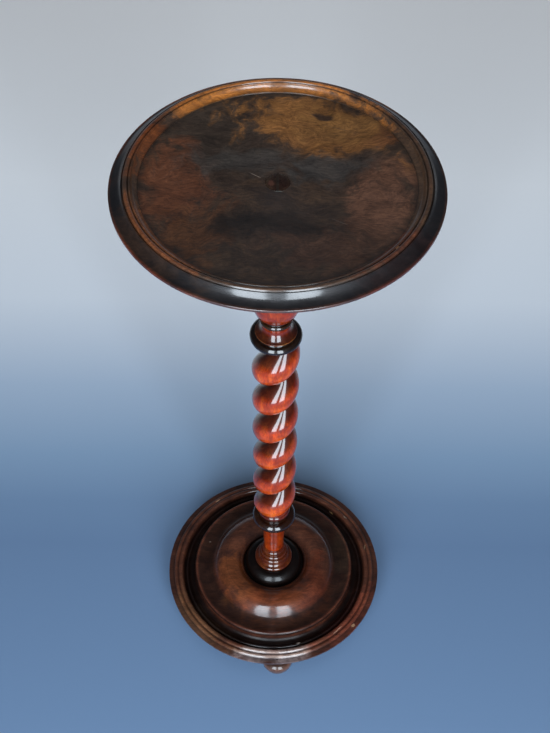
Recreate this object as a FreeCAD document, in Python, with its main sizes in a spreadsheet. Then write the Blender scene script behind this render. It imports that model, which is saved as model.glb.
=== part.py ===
"""Candle stand: a round dished top on a single barley-twist column, a domed base and three bun feet.

Every wooden piece is turned about its own upright axis, so each is a closed outline revolved once.
The twist is a bead swept along a helix, trimmed to length, and the turned ends are then added to it.
Lengths are in millimetres. The origin is on the floor under the middle of the column, +Z is up,
and the front of the stand faces -Y.
"""
import FreeCAD, Part
import math
import os
import re
import Sketcher

V = FreeCAD.Vector

doc = FreeCAD.newDocument("CandleStand")

# Sizes: every length of the stand, written once
sizes = {
    # whole stand
    "stand_height": 740.0,
    "fit_gap": 0.15,
    "overrun": 5.0,
    # top board, from its outer edge inwards
    "top_radius": 152.5,
    "top_overhang": 32.5,
    "top_lip_width": 3.5,
    "top_hollow_rise": 9.0,
    "top_lip_thickness": 3.0,
    "rim_ledge_width": 1.5,
    "rim_sweep_width": 10.7,
    "rim_sweep_rise": 8.6,
    "rim_quirk_width": 0.9,
    "rim_quirk_depth": 1.2,
    "rim_bead_foot_width": 0.5,
    "rim_bead_width": 4.3,
    "rim_groove_width": 0.5,
    "rim_groove_depth": 0.9,
    "rim_arris_lift": 1.3,
    "rim_arris_width": 1.3,
    "rim_arris_rise": 0.3,
    "rim_cove_width": 5.5,
    "rim_cove_depth": 5.7,
    "field_fillet_width": 0.8,
    "field_fillet_depth": 1.2,
    # column, from its lower shoulder up to the twist
    "lower_tenon_radius": 14.0,
    "ring_radius": 22.5,
    "ring_height": 5.0,
    "ring_hollow_radius": 18.0,
    "ring_hollow_height": 5.0,
    "first_bead_height": 6.0,
    "second_bead_radius": 16.0,
    "second_bead_height": 5.5,
    "bead_fillet_radius": 14.2,
    "bead_fillet_height": 2.0,
    "third_bead_radius": 13.4,
    "third_bead_height": 5.5,
    "neck_fillet_radius": 13.0,
    "neck_fillet_height": 2.5,
    "neck_lower_radius": 12.2,
    "neck_upper_radius": 14.0,
    "neck_height": 45.5,
    "neck_hollow_radius": 18.5,
    "neck_hollow_height": 17.0,
    "torus_fillet_radius": 19.3,
    "torus_fillet_height": 2.5,
    "torus_radius": 20.5,
    "torus_height": 13.0,
    "torus_quirk_radius": 18.3,
    "torus_quirk_height": 5.0,
    "fourth_bead_height": 6.5,
    "twist_foot_radius": 17.8,
    "twist_seat_radius": 18.6,
    "twist_seat_height": 7.0,
    # column, from its upper shoulder down to the twist
    "upper_tenon_radius": 11.25,
    "capital_radius": 25.5,
    "capital_roll_height": 9.0,
    "capital_fillet_radius": 27.3,
    "capital_fillet_height": 2.5,
    "capital_hollow_radius": 26.0,
    "capital_hollow_height": 27.0,
    "vase_collar_radius": 15.0,
    "vase_collar_fillet": 2.2,
    "vase_bead_height": 6.5,
    "vase_neck_radius": 13.5,
    "vase_taper_height": 65.0,
    "vase_shoulder_radius": 25.0,
    "vase_belly_height": 42.5,
    "vase_foot_radius": 22.0,
    "vase_arris_radius": 21.0,
    "vase_arris_height": 1.0,
    "collar_neck_radius": 14.5,
    "vase_under_height": 2.0,
    "collar_neck_height": 8.0,
    "collar_bead_radius": 16.0,
    "collar_bead_height": 5.0,
    "collar_hollow_radius": 21.6,
    "collar_hollow_height": 15.6,
    "collar_arris_radius": 21.9,
    "collar_arris_height": 1.2,
    "collar_roll_radius": 22.2,
    "collar_quirk_height": 1.0,
    "collar_roll_height": 9.7,
    "collar_foot_radius": 25.15,
    # twist
    "twist_radius": 25.9,
    "twist_pitch": 52.9,
    "twist_core_radius": 10.0,
    "twist_bite": 0.8,
    "twist_root_depth": 2.2,
    "twist_gap": 0.4,
    "twist_run_in": 76.8,
    "twist_end_rounding": 15.0,
    "twist_top_radius": 23.0,
    "twist_top_rounding": 6.0,
    # base board, from its outer edge inwards
    "base_radius": 139.0,
    "plinth_inset": 8.5,
    "plinth_height": 7.0,
    "base_hollow_height": 10.0,
    "base_lip_height": 3.0,
    "base_lip_ledge": 6.6,
    "outer_roll_width": 5.0,
    "outer_roll_rise": 1.4,
    "roll_gap_width": 1.0,
    "inner_roll_width": 6.0,
    "groove_wall_width": 2.0,
    "groove_depth": 6.4,
    "base_bead_foot_width": 1.2,
    "base_bead_lift": 1.2,
    "base_bead_width": 4.6,
    "cove_width": 8.6,
    "cove_rise": 9.8,
    "disc_edge_width": 2.4,
    "disc_edge_height": 4.2,
    "disc_arris_width": 1.2,
    "disc_arris_fall": 0.4,
    "dome_foot_width": 21.9,
    "dome_foot_rise": 2.8,
    "dome_rise": 4.9,
    "well_edge_width": 2.8,
    "well_edge_fall": 3.0,
    "well_wall_width": 0.6,
    "well_wall_height": 4.5,
    "well_floor_width": 3.7,
    "boss_radius": 36.7,
    "boss_foot_inset": 1.2,
    "boss_side_height": 8.5,
    "boss_crown_width": 12.0,
    "boss_crown_height": 10.5,
    # bun feet
    "foot_height": 23.0,
    "foot_inset": 20.5,
    "foot_sole_radius": 12.5,
    "foot_radius": 19.5,
    "foot_belly_height": 15.0,
    "foot_shoulder_radius": 14.0,
    "foot_spigot_radius": 8.0,
    "foot_spigot_length": 9.0,
    "foot_bore_slack": 1.0,
    # wedges in the tenon ends
    "top_kerf_depth": 11.0,
    "base_kerf_depth": 18.0,
    "wedge_thickness": 2.4,
    "wedge_tip_thickness": 0.8,
}

# Angles and counts
foot_count = 3
front_foot_angle = -87.0
strand_cut_count = 6
# a curved moulding is cut in flats, each of which turns through no more than this many degrees
flat_turn = 45.0

# Bulges: how far a curved member swells from its chord, as a share of that chord
soft_roll_share = 0.2
full_bead_share = 0.42
collar_roll_share = 0.37
plump_bead_share = 0.34
low_bead_share = 0.25
torus_share = 0.47
shallow_hollow_share = -0.12
hollow_share = -0.2
deep_hollow_share = -0.45
slight_share = 0.08
foot_swell_share = 0.12

sheet = doc.addObject("Spreadsheet::Sheet", "Sizes")
for row, (alias, length) in enumerate(sizes.items(), start=1):
    sheet.set("A%d" % row, alias)
    sheet.set("B%d" % row, str(length))
    sheet.setAlias("B%d" % row, alias)
doc.recompute()


def bound(text):
    """The same sum with each size read from the sheet."""
    def from_sheet(word):
        return "Sizes." + word.group() if word.group() in sizes else word.group()
    return re.sub(r"[a-z_]+", from_sheet, text)


def number(text):
    """What a sum of sizes comes to."""
    return float(sheet.evalExpression(bound(text)))


def origin_feature(body, role):
    return next(item for item in body.Origin.OriginFeatures if item.Role == role)


def new_body(label):
    body = doc.addObject("PartDesign::Body", label)
    body.Label = label
    return body


def new_sketch(body, name, role="XZ_Plane"):
    sketch = body.newObject("Sketcher::SketchObject", name)
    sketch.AttachmentSupport = [(origin_feature(body, role), "")]
    sketch.MapMode = "FlatFace"
    return sketch


def tie(sketch, kind, text, first, second):
    """Hold the distance from first to second, along X or Y, at a sum of sizes."""
    length = number(text)
    if abs(length) < 1e-9:
        level = "Vertical" if kind == "DistanceX" else "Horizontal"
        sketch.addConstraint(Sketcher.Constraint(level, *first, *second))
        return
    if length < 0:
        first, second, text, length = second, first, "-(%s)" % text, -length
    index = sketch.addConstraint(Sketcher.Constraint(kind, *first, *second, length))
    sketch.setExpression("Constraints[%d]" % index, bound(text))


def hold_radius(sketch, text, corner):
    """Hold a corner at a distance from the axis."""
    if number(text) == 0:
        sketch.addConstraint(Sketcher.Constraint("PointOnObject", *corner, -2))
    else:
        tie(sketch, "DistanceX", text, (-1, 1), corner)


def flats_of(bulge, cuts=None):
    """Corners of the flats of a curved member, as shares along its chord and out from it."""
    if not bulge:
        return [(1, 0)]
    turn = 4 * math.atan(2 * abs(bulge))
    count = cuts or math.ceil(math.degrees(turn) / flat_turn)
    radius = (0.25 + bulge ** 2) / (2 * bulge)
    corners = []
    for cut in range(1, count):
        angle = turn * (cut / count - 0.5)
        along = 0.5 + abs(radius) * math.sin(angle)
        corners.append((along, bulge - radius * (1 - math.cos(angle))))
    return corners + [(1, 0)]


def draw_run(sketch, start, members, side, cuts=None):
    """Draw a run of members, each given as the radius and the rise at its far end, and its bulge.

    side is 1 where the outside of the wood is on the right of the path, and -1 where it is on the left.
    """
    place = (number(start[0]), number(start[1]))
    first = previous = None
    radius_before = start[0]
    for radius, rise, bulge in members:
        run = "((%s) - (%s))" % (radius, radius_before)
        done = (0, 0)
        for along, out in flats_of(bulge * side, cuts):
            far_radius = radius
            if (along, out) != (1, 0):
                far_radius = "(%s) + %s * (%r) + (%s) * (%r)" % (radius_before, run, along, rise, out)
            step = "(%s) * (%r) - %s * (%r)" % (rise, along - done[0], run, out - done[1])
            if (along, out) == (1, 0) and done == (0, 0):
                step = rise
            far = (number(far_radius), place[1] + number(step))
            edge = sketch.addGeometry(Part.LineSegment(V(*place, 0), V(*far, 0)), False)
            if previous is None:
                first = (edge, 1)
                hold_radius(sketch, start[0], first)
                tie(sketch, "DistanceY", start[1], (-1, 1), first)
            else:
                sketch.addConstraint(Sketcher.Constraint("Coincident", *previous, edge, 1))
            hold_radius(sketch, far_radius, (edge, 2))
            tie(sketch, "DistanceY", step, (edge, 1), (edge, 2))
            previous = (edge, 2)
            place = far
            done = (along, out)
        radius_before = radius
    return first, previous, (number(start[0]), number(start[1])), place


def join(sketch, near, near_point, far, far_point):
    """A straight line between two corners that are held already."""
    edge = sketch.addGeometry(Part.LineSegment(V(*near_point, 0), V(*far_point, 0)), False)
    sketch.addConstraint(Sketcher.Constraint("Coincident", *near, edge, 1))
    sketch.addConstraint(Sketcher.Constraint("Coincident", edge, 2, *far))


def outline(body, name, lower_start, lower, upper_start=None, upper=(), cuts=None):
    """A closed outline: one run all round, or a run from below and one from above that meet."""
    sketch = new_sketch(body, name)
    first, last, first_point, last_point = draw_run(sketch, lower_start, lower, 1, cuts)
    if upper:
        top, meet, top_point, meet_point = draw_run(sketch, upper_start, upper, -1, cuts)
        join(sketch, last, last_point, meet, meet_point)
        join(sketch, top, top_point, first, first_point)
    else:
        join(sketch, last, last_point, first, first_point)
    doc.recompute()
    return sketch


def turned(body, sketch, kind="PartDesign::Revolution"):
    """Revolve an outline once about the upright axis, to add wood or to take it away."""
    feature = body.newObject(kind, sketch.Name + "_turned")
    feature.Profile = sketch
    feature.ReferenceAxis = (sketch, ["V_Axis"])
    feature.Angle = 360.0
    doc.recompute()
    return feature


def stand_at(body, z_text, x_text=None, y_text=None):
    """Put a body at its height, and away from the middle if it has a place there."""
    for axis, text in (("x", x_text), ("y", y_text), ("z", z_text)):
        if text:
            body.setExpression("Placement.Base." + axis, bound(text))


# Mouldings of the two boards: radius and rise at each member's far end, and its bulge
quirk_radius = "(top_radius - rim_ledge_width - rim_sweep_width - rim_quirk_width)"
rim_bead_radius = "(%s - rim_bead_foot_width)" % quirk_radius
rim_groove_radius = "(%s - rim_bead_width - rim_groove_width)" % rim_bead_radius
rim_cove_radius = "(%s - rim_groove_width - rim_arris_width)" % rim_groove_radius
field_radius = "(%s - rim_cove_width - field_fillet_width)" % rim_cove_radius
top_edge = [
    ("top_radius - top_overhang", "0", 0),
    ("top_radius - top_lip_width", "top_hollow_rise", shallow_hollow_share),
    ("top_radius", "0", 0),
    ("top_radius", "top_lip_thickness", 0),
    ("top_radius - rim_ledge_width", "0", 0),
    ("top_radius - rim_ledge_width - rim_sweep_width", "rim_sweep_rise", shallow_hollow_share),
    (quirk_radius, "-rim_quirk_depth", 0),
    (rim_bead_radius, "rim_quirk_depth", 0),
    (rim_bead_radius + " - rim_bead_width", "0", plump_bead_share),
    (rim_groove_radius, "-rim_groove_depth", 0),
    (rim_groove_radius + " - rim_groove_width", "rim_arris_lift", 0),
    (rim_cove_radius, "rim_arris_rise", 0),
    (rim_cove_radius + " - rim_cove_width", "-rim_cove_depth", hollow_share),
    (field_radius, "0", 0),
    (field_radius, "-field_fillet_depth", 0),
]
outer_roll_radius = "(base_radius - base_lip_ledge - outer_roll_width)"
inner_roll_radius = "(%s - roll_gap_width - inner_roll_width)" % outer_roll_radius
base_bead_radius = "(%s - groove_wall_width - base_bead_foot_width)" % inner_roll_radius
cove_radius = "(%s - base_bead_width - cove_width)" % base_bead_radius
disc_radius = "(%s - disc_edge_width - disc_arris_width)" % cove_radius
well_floor_radius = "(boss_radius - boss_foot_inset + well_floor_width)"
well_edge_radius = "(%s + well_wall_width + well_edge_width)" % well_floor_radius
base_edge = [
    ("base_radius - plinth_inset", "0", 0),
    ("base_radius - plinth_inset", "plinth_height", 0),
    ("base_radius", "base_hollow_height", hollow_share),
    ("base_radius", "base_lip_height", 0),
    ("base_radius - base_lip_ledge", "0", 0),
    (outer_roll_radius, "outer_roll_rise", plump_bead_share),
    (outer_roll_radius + " - roll_gap_width", "0", 0),
    (inner_roll_radius, "0", plump_bead_share),
    (inner_roll_radius + " - groove_wall_width", "-groove_depth", 0),
    (base_bead_radius, "base_bead_lift", 0),
    (base_bead_radius + " - base_bead_width", "0", full_bead_share),
    (cove_radius, "cove_rise", deep_hollow_share),
    (cove_radius + " - disc_edge_width", "disc_edge_height", soft_roll_share),
    (disc_radius, "-disc_arris_fall", 0),
    (disc_radius + " - dome_foot_width", "dome_foot_rise", shallow_hollow_share),
    (well_edge_radius, "dome_rise", low_bead_share),
    (well_edge_radius + " - well_edge_width", "-well_edge_fall", low_bead_share),
    (well_floor_radius, "-well_wall_height", 0),
    ("boss_radius - boss_foot_inset", "0", 0),
    ("boss_radius", "boss_side_height", 0),
    ("boss_radius - boss_crown_width", "boss_crown_height", soft_roll_share),
]


def rise_of(members):
    """The height that a run of members climbs in all."""
    return "(%s)" % " + ".join("(%s)" % rise for radius, rise, bulge in members)


# Heights that pieces share
base_height = rise_of(base_edge)
boss_top = "(foot_height + %s)" % base_height
field_height = rise_of(top_edge)
bead_foot_height = rise_of(top_edge[:8])
top_thickness = "(%s + rim_bead_width * %r)" % (bead_foot_height, plump_bead_share)
top_underside = "(stand_height - %s)" % top_thickness
column_length = "(%s - %s)" % (top_underside, boss_top)
foot_circle_radius = "(base_radius - foot_inset)"


def make_base_board():
    body = new_body("base_board")
    bore = "lower_tenon_radius + fit_gap"
    turned(body, outline(body, "base_outline", (bore, "0"), base_edge + [(bore, "0", 0)]))

    bores = new_sketch(body, "foot_bore_outline", "XY_Plane")
    bore_radius = "foot_spigot_radius + fit_gap"
    bore_depth = "foot_spigot_length + foot_bore_slack"
    spot = Part.Circle(V(number(foot_circle_radius), 0, 0), V(0, 0, 1), number(bore_radius))
    circle = bores.addGeometry(spot, False)
    radius = bores.addConstraint(Sketcher.Constraint("Radius", circle, number(bore_radius)))
    bores.setExpression("Constraints[%d]" % radius, bound(bore_radius))
    tie(bores, "DistanceX", foot_circle_radius, (-1, 1), (circle, 3))
    bores.addConstraint(Sketcher.Constraint("PointOnObject", circle, 3, -1))
    bores.AttachmentOffset = FreeCAD.Placement(V(), FreeCAD.Rotation(V(0, 0, 1), front_foot_angle))
    doc.recompute()
    whole = body.Shape.Volume
    pocket = body.newObject("PartDesign::Pocket", "foot_bore")
    pocket.Profile = bores
    pocket.setExpression("Length", bound(bore_depth))
    pocket.Reversed = True
    doc.recompute()
    around = body.newObject("PartDesign::PolarPattern", "foot_bores")
    around.Originals = [pocket]
    around.Axis = (origin_feature(body, "Z_Axis"), [""])
    around.Angle = 360.0
    around.Occurrences = foot_count
    body.Tip = around
    doc.recompute()
    cut = whole - body.Shape.Volume
    asked = foot_count * math.pi * number(bore_radius) ** 2 * number(bore_depth)
    print("foot bores take %.1f of %.1f cubic mm" % (cut, asked))
    stand_at(body, "foot_height")
    return body


def make_twist(body, lower_end, upper_end):
    """The single strand, trimmed to the part of the column between its turned ends."""
    flank = "((twist_pitch - twist_gap) / 2)"
    root = "(twist_core_radius - twist_bite)"
    inside = "(%s - twist_root_depth)" % root
    swell = (number("twist_radius") - number(root)) / (2 * number(flank))
    strand = outline(
        body, "strand_outline",
        (inside, "%s - twist_run_in - %s" % (lower_end, flank)),
        [
            (root, "0", 0),
            (root, "2 * %s" % flank, swell),
            (inside, "0", 0),
        ],
        cuts=strand_cut_count)
    helix = body.newObject("PartDesign::AdditiveHelix", "strand")
    helix.Profile = strand
    helix.ReferenceAxis = (strand, ["V_Axis"])
    helix.Mode = "pitch-height-angle"
    helix.LeftHanded = False
    helix.Reversed = False
    helix.setExpression("Pitch", bound("twist_pitch"))
    helix.setExpression("Height", bound("twist_run_in + %s - %s + twist_pitch" % (upper_end, lower_end)))
    doc.recompute()

    outside = "(twist_radius + overrun)"
    below = outline(
        body, "lower_trim",
        ("0", "%s - twist_run_in - twist_pitch" % lower_end),
        [
            (outside, "0", 0),
            (outside, "twist_run_in + twist_pitch + twist_end_rounding", 0),
            ("twist_radius", "0", 0),
            ("twist_seat_radius", "-twist_end_rounding", hollow_share),
            ("0", "0", 0),
        ])
    turned(body, below, "PartDesign::Groove")
    above = outline(
        body, "upper_trim",
        ("0", upper_end),
        [
            ("twist_top_radius", "0", 0),
            ("twist_radius", "-twist_top_rounding", hollow_share),
            (outside, "0", 0),
            (outside, "twist_top_rounding + 2 * twist_pitch", 0),
            ("0", "0", 0),
        ])
    turned(body, above, "PartDesign::Groove")


def cut_kerf(body, name, mouth_height, depth, inward):
    """A tapered saw cut across a tenon's end, open on both sides. inward is -1 where it runs down."""
    sketch = new_sketch(body, name + "_outline")
    wedge_outline(sketch, mouth_height, depth, inward)
    whole = body.Shape.Volume
    kerf = body.newObject("PartDesign::Pocket", name)
    kerf.Profile = sketch
    kerf.Type = "ThroughAll"
    kerf.Midplane = True
    doc.recompute()
    print("%s takes %.1f cubic mm" % (name, whole - body.Shape.Volume))


def wedge_outline(sketch, mouth_height, depth, inward):
    """A wedge seen from the front: wide at the tenon's end, narrow at the bottom of the cut."""
    wide, narrow = number("wedge_thickness") / 2, number("wedge_tip_thickness") / 2
    mouth = number(mouth_height)
    tip = mouth + inward * number(depth)
    places = [(-wide, mouth), (wide, mouth), (narrow, tip), (-narrow, tip)]
    edges = []
    for index, place in enumerate(places):
        follower = places[(index + 1) % len(places)]
        edges.append(sketch.addGeometry(Part.LineSegment(V(*place, 0), V(*follower, 0)), False))
    for index, edge in enumerate(edges):
        follower = edges[(index + 1) % len(edges)]
        sketch.addConstraint(Sketcher.Constraint("Coincident", edge, 2, follower, 1))
    for edge, thickness in ((edges[0], "wedge_thickness"), (edges[2], "wedge_tip_thickness")):
        sketch.addConstraint(Sketcher.Constraint("Symmetric", edge, 1, edge, 2, -2))
        left, right = ((edge, 1), (edge, 2)) if edge == edges[0] else ((edge, 2), (edge, 1))
        tie(sketch, "DistanceX", thickness, left, right)
    tie(sketch, "DistanceY", mouth_height, (-1, 1), (edges[0], 1))
    tie(sketch, "DistanceY", depth if inward > 0 else "-(%s)" % depth, (edges[0], 2), (edges[2], 1))
    doc.recompute()


def make_column():
    body = new_body("column")
    lower_end = ("(ring_height + ring_hollow_height + first_bead_height + second_bead_height"
                 " + bead_fillet_height + third_bead_height + neck_fillet_height + neck_height"
                 " + neck_hollow_height + torus_fillet_height + torus_height + torus_quirk_height"
                 " + fourth_bead_height + twist_seat_height)")
    upper_drop = ("(capital_roll_height + capital_fillet_height + capital_hollow_height"
                  " + 2 * vase_collar_fillet + vase_bead_height + vase_taper_height + vase_belly_height"
                  " + vase_arris_height + vase_under_height + collar_neck_height + collar_bead_height"
                  " + collar_hollow_height + collar_arris_height + collar_quirk_height"
                  " + collar_roll_height)")
    upper_end = "(%s - %s)" % (column_length, upper_drop)
    lower_tenon = base_height
    upper_tenon = field_height
    make_twist(body, lower_end, upper_end)

    lower = [
        ("lower_tenon_radius", "0", 0),
        ("lower_tenon_radius", lower_tenon, 0),
        ("ring_radius", "0", 0),
        ("ring_radius", "ring_height", plump_bead_share),
        ("ring_hollow_radius", "ring_hollow_height", hollow_share),
        ("ring_hollow_radius", "first_bead_height", low_bead_share),
        ("second_bead_radius", "0", 0),
        ("second_bead_radius", "second_bead_height", low_bead_share),
        ("bead_fillet_radius", "0", 0),
        ("bead_fillet_radius", "bead_fillet_height", 0),
        ("third_bead_radius", "0", 0),
        ("third_bead_radius", "third_bead_height", low_bead_share),
        ("neck_fillet_radius", "0", 0),
        ("neck_fillet_radius", "neck_fillet_height", 0),
        ("neck_lower_radius", "0", 0),
        ("neck_upper_radius", "neck_height", 0),
        ("neck_hollow_radius", "neck_hollow_height", shallow_hollow_share),
        ("torus_fillet_radius", "0", 0),
        ("torus_fillet_radius", "torus_fillet_height", 0),
        ("torus_radius", "0", 0),
        ("torus_radius", "torus_height", torus_share),
        ("torus_quirk_radius", "0", 0),
        ("torus_quirk_radius", "torus_quirk_height", 0),
        ("torus_quirk_radius", "fourth_bead_height", soft_roll_share),
        ("twist_foot_radius", "0", 0),
        ("twist_seat_radius", "twist_seat_height", shallow_hollow_share),
        ("twist_core_radius", "0", 0),
    ]
    upper = [
        ("upper_tenon_radius", "0", 0),
        ("upper_tenon_radius", "-" + upper_tenon, 0),
        ("capital_radius", "0", 0),
        ("capital_radius", "-capital_roll_height", low_bead_share),
        ("capital_fillet_radius", "0", 0),
        ("capital_fillet_radius", "-capital_fillet_height", 0),
        ("capital_hollow_radius", "0", 0),
        ("vase_collar_radius", "-capital_hollow_height", hollow_share),
        ("vase_collar_radius", "-vase_collar_fillet", 0),
        ("vase_collar_radius", "-vase_bead_height", plump_bead_share),
        ("vase_collar_radius", "-vase_collar_fillet", 0),
        ("vase_neck_radius", "0", 0),
        ("vase_shoulder_radius", "-vase_taper_height", -slight_share),
        ("vase_foot_radius", "-vase_belly_height", slight_share),
        ("vase_arris_radius", "-vase_arris_height", 0),
        ("collar_neck_radius", "-vase_under_height", 0),
        ("collar_neck_radius", "-collar_neck_height", 0),
        ("collar_bead_radius", "0", 0),
        ("collar_bead_radius", "-collar_bead_height", low_bead_share),
        ("collar_hollow_radius", "-collar_hollow_height", hollow_share),
        ("collar_arris_radius", "0", 0),
        ("collar_arris_radius", "-collar_arris_height", 0),
        ("collar_roll_radius", "-collar_quirk_height", 0),
        ("collar_foot_radius", "-collar_roll_height", collar_roll_share),
        ("twist_core_radius", "0", 0),
    ]
    turning = outline(
        body, "column_outline",
        ("0", "-" + lower_tenon), lower,
        ("0", "%s + %s" % (column_length, upper_tenon)), upper)
    turned(body, turning)
    cut_kerf(body, "top_kerf", "%s + %s" % (column_length, upper_tenon), "top_kerf_depth", -1)
    cut_kerf(body, "base_kerf", "-" + lower_tenon, "base_kerf_depth", 1)
    stand_at(body, boss_top)
    return body


def make_top_board():
    body = new_body("top_board")
    bore = "upper_tenon_radius + fit_gap"
    turned(body, outline(body, "top_outline", (bore, "0"), top_edge + [(bore, "0", 0)]))
    stand_at(body, top_underside)
    return body


def make_foot(index):
    body = new_body("foot_%d" % (index + 1))
    shape = [
        ("foot_sole_radius", "0", 0),
        ("foot_radius", "foot_belly_height", foot_swell_share),
        ("foot_shoulder_radius", "foot_height - foot_belly_height", soft_roll_share),
        ("foot_spigot_radius", "0", 0),
        ("foot_spigot_radius", "foot_spigot_length", 0),
        ("0", "0", 0),
    ]
    turned(body, outline(body, "foot_outline_%d" % (index + 1), ("0", "0"), shape))
    angle = front_foot_angle + index * 360.0 / foot_count
    stand_at(body, "0", "%s * cos(%r deg)" % (foot_circle_radius, angle),
             "%s * sin(%r deg)" % (foot_circle_radius, angle))
    return body


def make_wedge(label, mouth_height, depth, inward, tenon_radius):
    """A thin wedge driven into a kerf, as long as the tenon is across."""
    body = new_body(label)
    sketch = new_sketch(body, label + "_outline")
    wedge_outline(sketch, mouth_height, depth, inward)
    pad = body.newObject("PartDesign::Pad", label + "_pad")
    pad.Profile = sketch
    pad.Midplane = True
    chord = "2 * sqrt((%s) ^ 2 - (wedge_thickness / 2) ^ 2)" % tenon_radius
    pad.setExpression("Length", bound(chord))
    doc.recompute()
    return body


column = make_column()
base_board = make_base_board()
top_board = make_top_board()
feet = [make_foot(index) for index in range(foot_count)]
top_wedge = make_wedge("top_wedge", "%s + %s" % (top_underside, field_height), "top_kerf_depth", -1,
                       "upper_tenon_radius")
base_wedge = make_wedge("base_wedge", "foot_height", "base_kerf_depth", 1, "lower_tenon_radius")
pieces = [top_board, column, base_board, *feet, top_wedge, base_wedge]
doc.recompute()

# Check every object before anything is written
for item in doc.Objects:
    if "Invalid" in item.State or "Error" in item.State:
        raise RuntimeError("%s did not build: %s" % (item.Label, item.State))
for piece in pieces:
    shape = piece.Shape
    if shape.isNull() or not shape.isValid() or len(shape.Solids) != 1:
        raise RuntimeError("%s is not one sound solid" % piece.Label)
    box = shape.BoundBox
    print("%-11s volume %9.0f  z %.2f to %.2f" % (piece.Label, shape.Volume, box.ZMin, box.ZMax))

os.makedirs("parts", exist_ok=True)
for piece in pieces:
    piece.Shape.exportStep("parts/%s.step" % piece.Label)
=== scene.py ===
import math

import bpy
from mathutils import Matrix, Vector


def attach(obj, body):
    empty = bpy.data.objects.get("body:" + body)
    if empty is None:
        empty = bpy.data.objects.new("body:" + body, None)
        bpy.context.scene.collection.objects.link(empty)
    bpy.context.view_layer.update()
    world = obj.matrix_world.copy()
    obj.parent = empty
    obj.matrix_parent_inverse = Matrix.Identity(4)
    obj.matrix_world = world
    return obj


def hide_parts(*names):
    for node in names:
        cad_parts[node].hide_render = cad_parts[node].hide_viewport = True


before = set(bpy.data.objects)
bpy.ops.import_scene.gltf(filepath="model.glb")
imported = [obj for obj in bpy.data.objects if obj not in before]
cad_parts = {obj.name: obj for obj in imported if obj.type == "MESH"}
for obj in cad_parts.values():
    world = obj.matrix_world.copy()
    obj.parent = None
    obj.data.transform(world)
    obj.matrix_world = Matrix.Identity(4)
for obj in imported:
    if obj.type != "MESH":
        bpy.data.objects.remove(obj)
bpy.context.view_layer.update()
mm = 0.001
print("frame loaded:", len(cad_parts), "nodes")


lathe = {
    "degreesPerStep": 9, "fewestSteps": 3,  # how finely a curved member is drawn
    "mergeWithin": 0.01, "arrisSegments": 2, "arrisFrom": 32, "smoothBelow": 40,
}


def arcPoints(start, end, swell, step):
    # a positive swell lies to the right of the way from start to end, as a share of the chord
    if not swell:
        return [end]
    turn = 4 * math.atan(2 * abs(swell))
    count = max(lathe["fewestSteps"], math.ceil(math.degrees(turn) / step))
    radius = (0.25 + swell * swell) / (2 * swell)
    dx, dz = end[0] - start[0], end[1] - start[1]
    points = []
    for i in range(1, count):
        angle = turn * (i / count - 0.5)
        along = 0.5 + abs(radius) * math.sin(angle)
        out = swell - radius * (1 - math.cos(angle))
        points.append((start[0] + dx * along + dz * out, start[1] + dz * along - dx * out))
    return points + [end]


def outlinePoints(members):
    points = [members[0][:2]]
    for radius, height, swell in members[1:]:
        points += arcPoints(points[-1], (radius, height), swell, lathe["degreesPerStep"])
    return points


def onlySelect(piece):
    bpy.ops.object.select_all(action="DESELECT")
    piece.select_set(True)
    bpy.context.view_layer.objects.active = piece


def drawOutline(name, points):
    # a plane merged to one corner, which is then extruded from point to point
    bpy.ops.object.select_all(action="DESELECT")
    bpy.ops.mesh.primitive_plane_add(size=mm)
    piece = bpy.context.object
    piece.name = piece.data.name = name
    bpy.ops.object.mode_set(mode="EDIT")
    bpy.ops.mesh.select_all(action="SELECT")
    bpy.ops.mesh.merge(type="CENTER")
    x, z = points[0]
    bpy.ops.transform.translate(value=(x * mm, 0, z * mm))
    for nextX, nextZ in points[1:]:
        bpy.ops.mesh.extrude_region_move(
            TRANSFORM_OT_translate={"value": ((nextX - x) * mm, 0, (nextZ - z) * mm)})
        x, z = nextX, nextZ
    return piece


def turnOnLathe(name, members, steps, arris):
    piece = drawOutline(name, outlinePoints(members))
    bpy.ops.mesh.select_all(action="SELECT")
    bpy.ops.mesh.spin(steps=steps, angle=math.tau, axis=(0, 0, 1), center=(0, 0, 0))
    bpy.ops.mesh.select_all(action="SELECT")
    bpy.ops.mesh.remove_doubles(threshold=lathe["mergeWithin"] * mm)
    bpy.ops.mesh.normals_make_consistent(inside=False)
    bpy.ops.object.mode_set(mode="OBJECT")
    onlySelect(piece)
    soften = piece.modifiers.new("soften", "BEVEL")
    soften.width = arris * mm
    soften.segments = lathe["arrisSegments"]
    soften.limit_method = "ANGLE"
    soften.angle_limit = math.radians(lathe["arrisFrom"])
    bpy.ops.object.modifier_apply(modifier="soften")
    bpy.ops.object.shade_smooth_by_angle(angle=math.radians(lathe["smoothBelow"]))
    return piece


topBoard = {
    "steps": 224, "arris": 0.35,
    "outline": [
        (11.4, 717.94, 0), (120, 717.94, 0), (149, 726.94, -0.12), (152.5, 726.94, 0),
        (152.5, 729.94, 0), (151, 729.94, 0), (140.3, 738.54, -0.12), (139.4, 737.34, 0),
        (138.9, 738.54, 0), (134.6, 738.54, 0.34), (134.1, 737.64, 0), (133.6, 738.94, 0),
        (132.3, 739.24, 0), (126.8, 733.54, -0.2), (126, 733.54, 0), (126, 732.34, 0),
        (11.4, 732.34, 0), (11.4, 717.94, 0),
    ],
}
topTurned = turnOnLathe("topTurned", topBoard["outline"], topBoard["steps"], topBoard["arris"])
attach(topTurned, "root")
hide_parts("top_board")
print("top board turned")


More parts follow.
